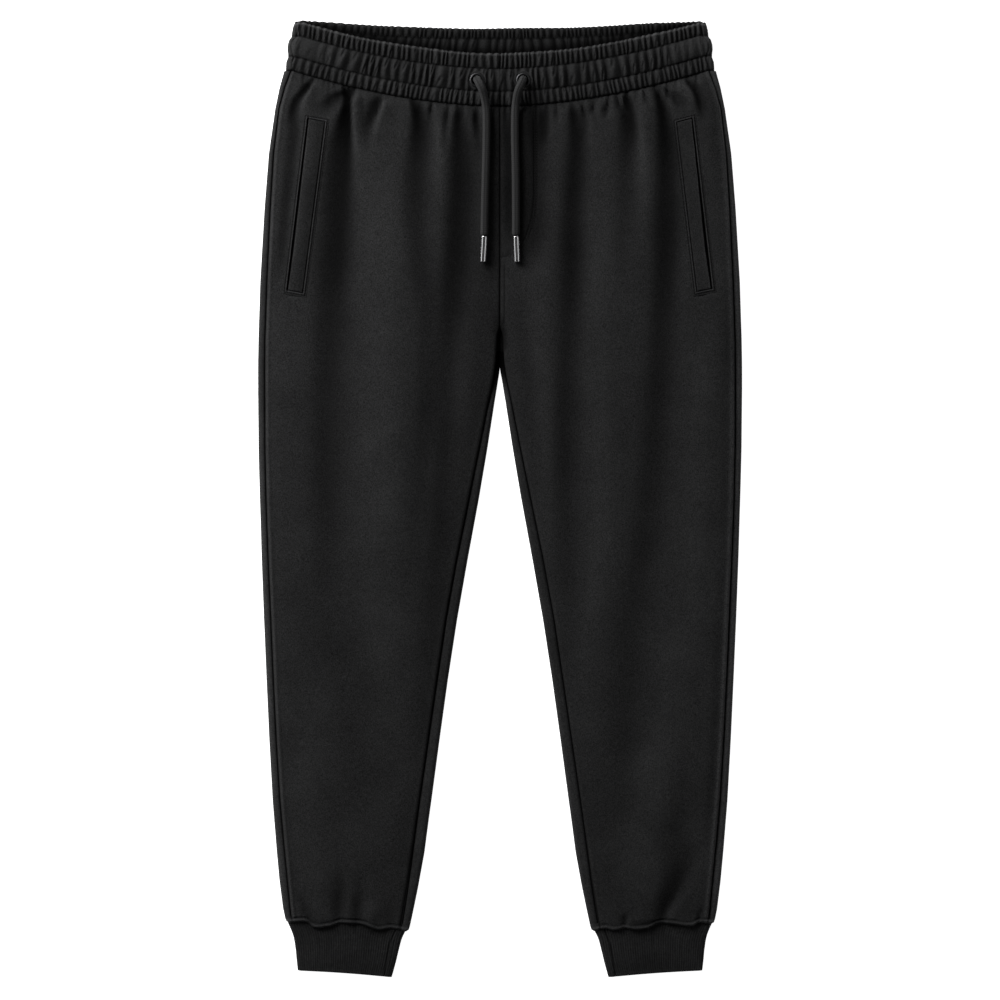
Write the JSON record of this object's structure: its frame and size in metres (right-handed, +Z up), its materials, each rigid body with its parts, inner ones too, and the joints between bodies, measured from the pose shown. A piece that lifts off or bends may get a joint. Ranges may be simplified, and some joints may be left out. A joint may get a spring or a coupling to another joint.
{
  "type": "jogger sweatpants",
  "caption": "Jogger sweatpants laid flat, front up: stitched elastic waist with a drawcord, slanted welt pockets, tapered legs and rib ankle cuffs",
  "frame": {"origin": "on the surface that the garment lies on, under the middle of the box of its sewn pieces", "axes": "+X the wearer's left, +Y towards the waist, +Z up out of the garment's front"},
  "size_m": [0.5216, 1.0308, 0.0274],
  "materials": {
    "fleece": "matte black brushed fleece",
    "rib": "matte black rib knit",
    "cord": "black braided cord",
    "eyelet_metal": "dark gunmetal plating",
    "tip_metal": "polished nickel plating"
  },
  "bodies": {
    "root": {"front_leg_left": "fleece", "front_leg_right": "fleece", "back_leg_left": "fleece", "back_leg_right": "fleece", "waistband_front": "fleece", "waistband_back": "fleece", "pocket_welt_left": "fleece", "pocket_welt_right": "fleece", "cuff_left": "rib", "cuff_right": "rib", "eyelet_left": "eyelet_metal", "eyelet_right": "eyelet_metal", "drawcord_left": "cord", "drawcord_right": "cord", "cord_tip_left": "tip_metal", "cord_tip_right": "tip_metal"}
  },
  "joints": []
}
